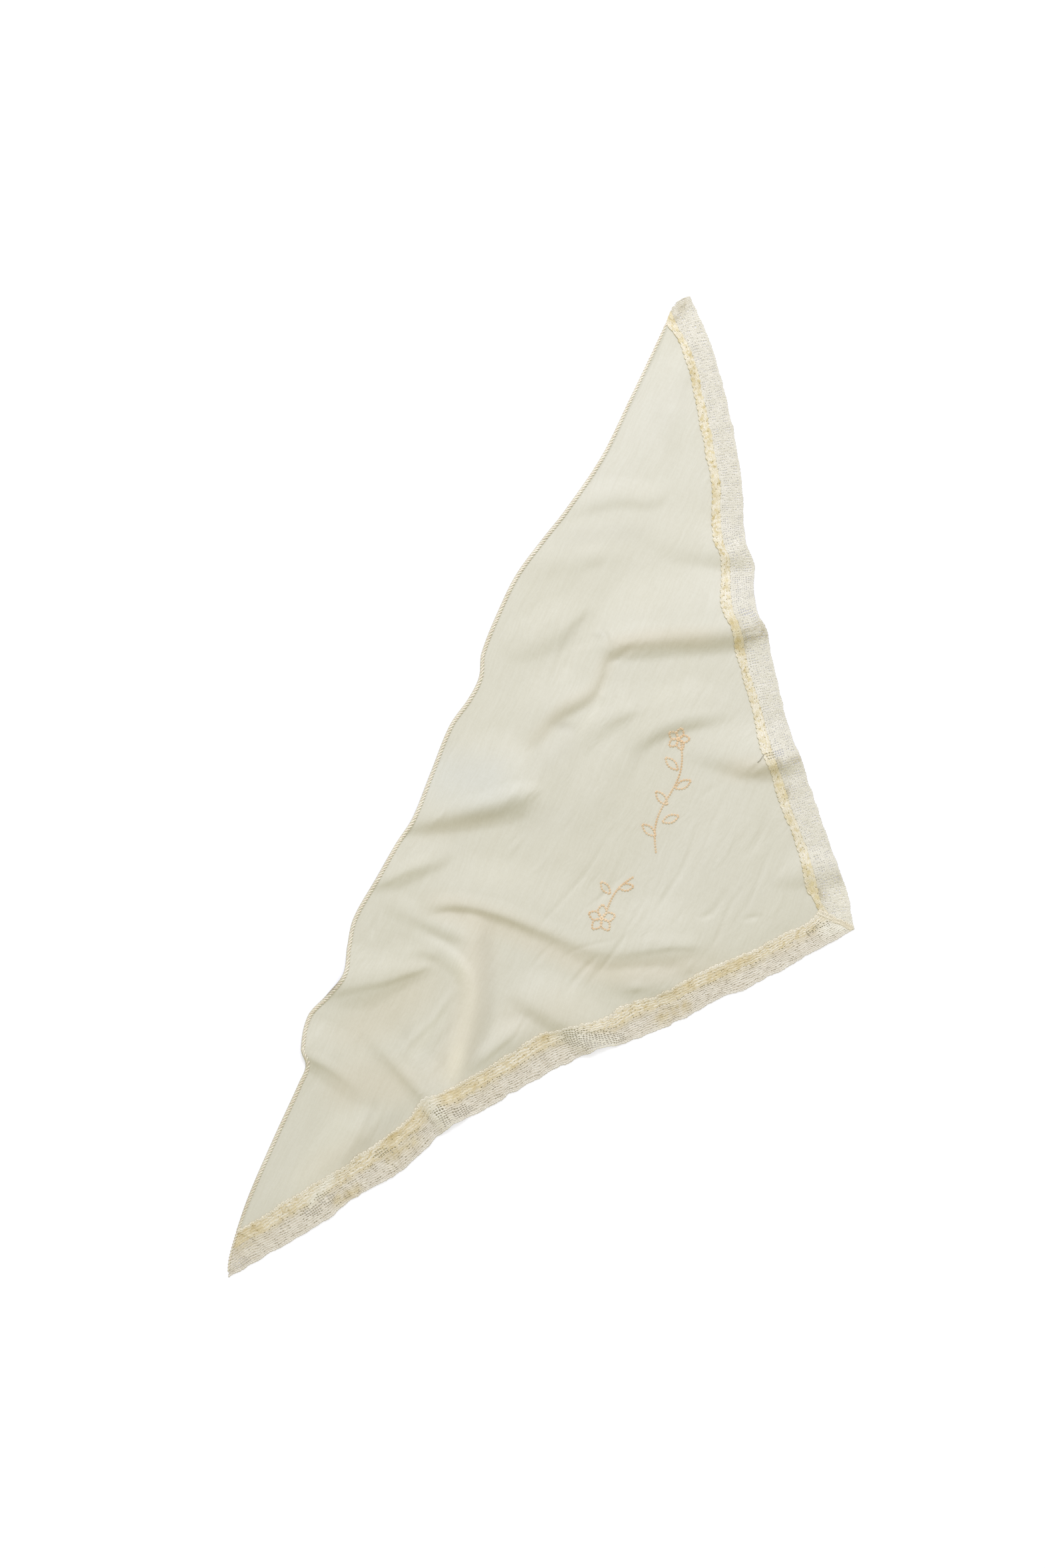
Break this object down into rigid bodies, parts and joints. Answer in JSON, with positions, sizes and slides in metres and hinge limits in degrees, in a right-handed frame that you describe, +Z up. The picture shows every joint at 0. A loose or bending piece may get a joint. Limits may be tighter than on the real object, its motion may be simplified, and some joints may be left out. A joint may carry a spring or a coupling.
{
  "type": "lace bandana",
  "caption": "Triangular cotton voile bandana lying in soft folds, with a rolled hem on its long side and a strip of filet lace on each short side.",
  "frame": {"origin": "on the table, under the middle of the whole outline", "axes": "+X along the hemmed long side, -Y towards the lace corner, +Z up"},
  "size_m": [0.848, 0.358, 0.0128],
  "materials": {
    "voile": "matte cream cotton voile",
    "lace": "matte ecru cotton lace"
  },
  "bodies": {
    "root": {"panel": "voile", "lace_left": "lace", "lace_right": "lace"}
  },
  "joints": []
}
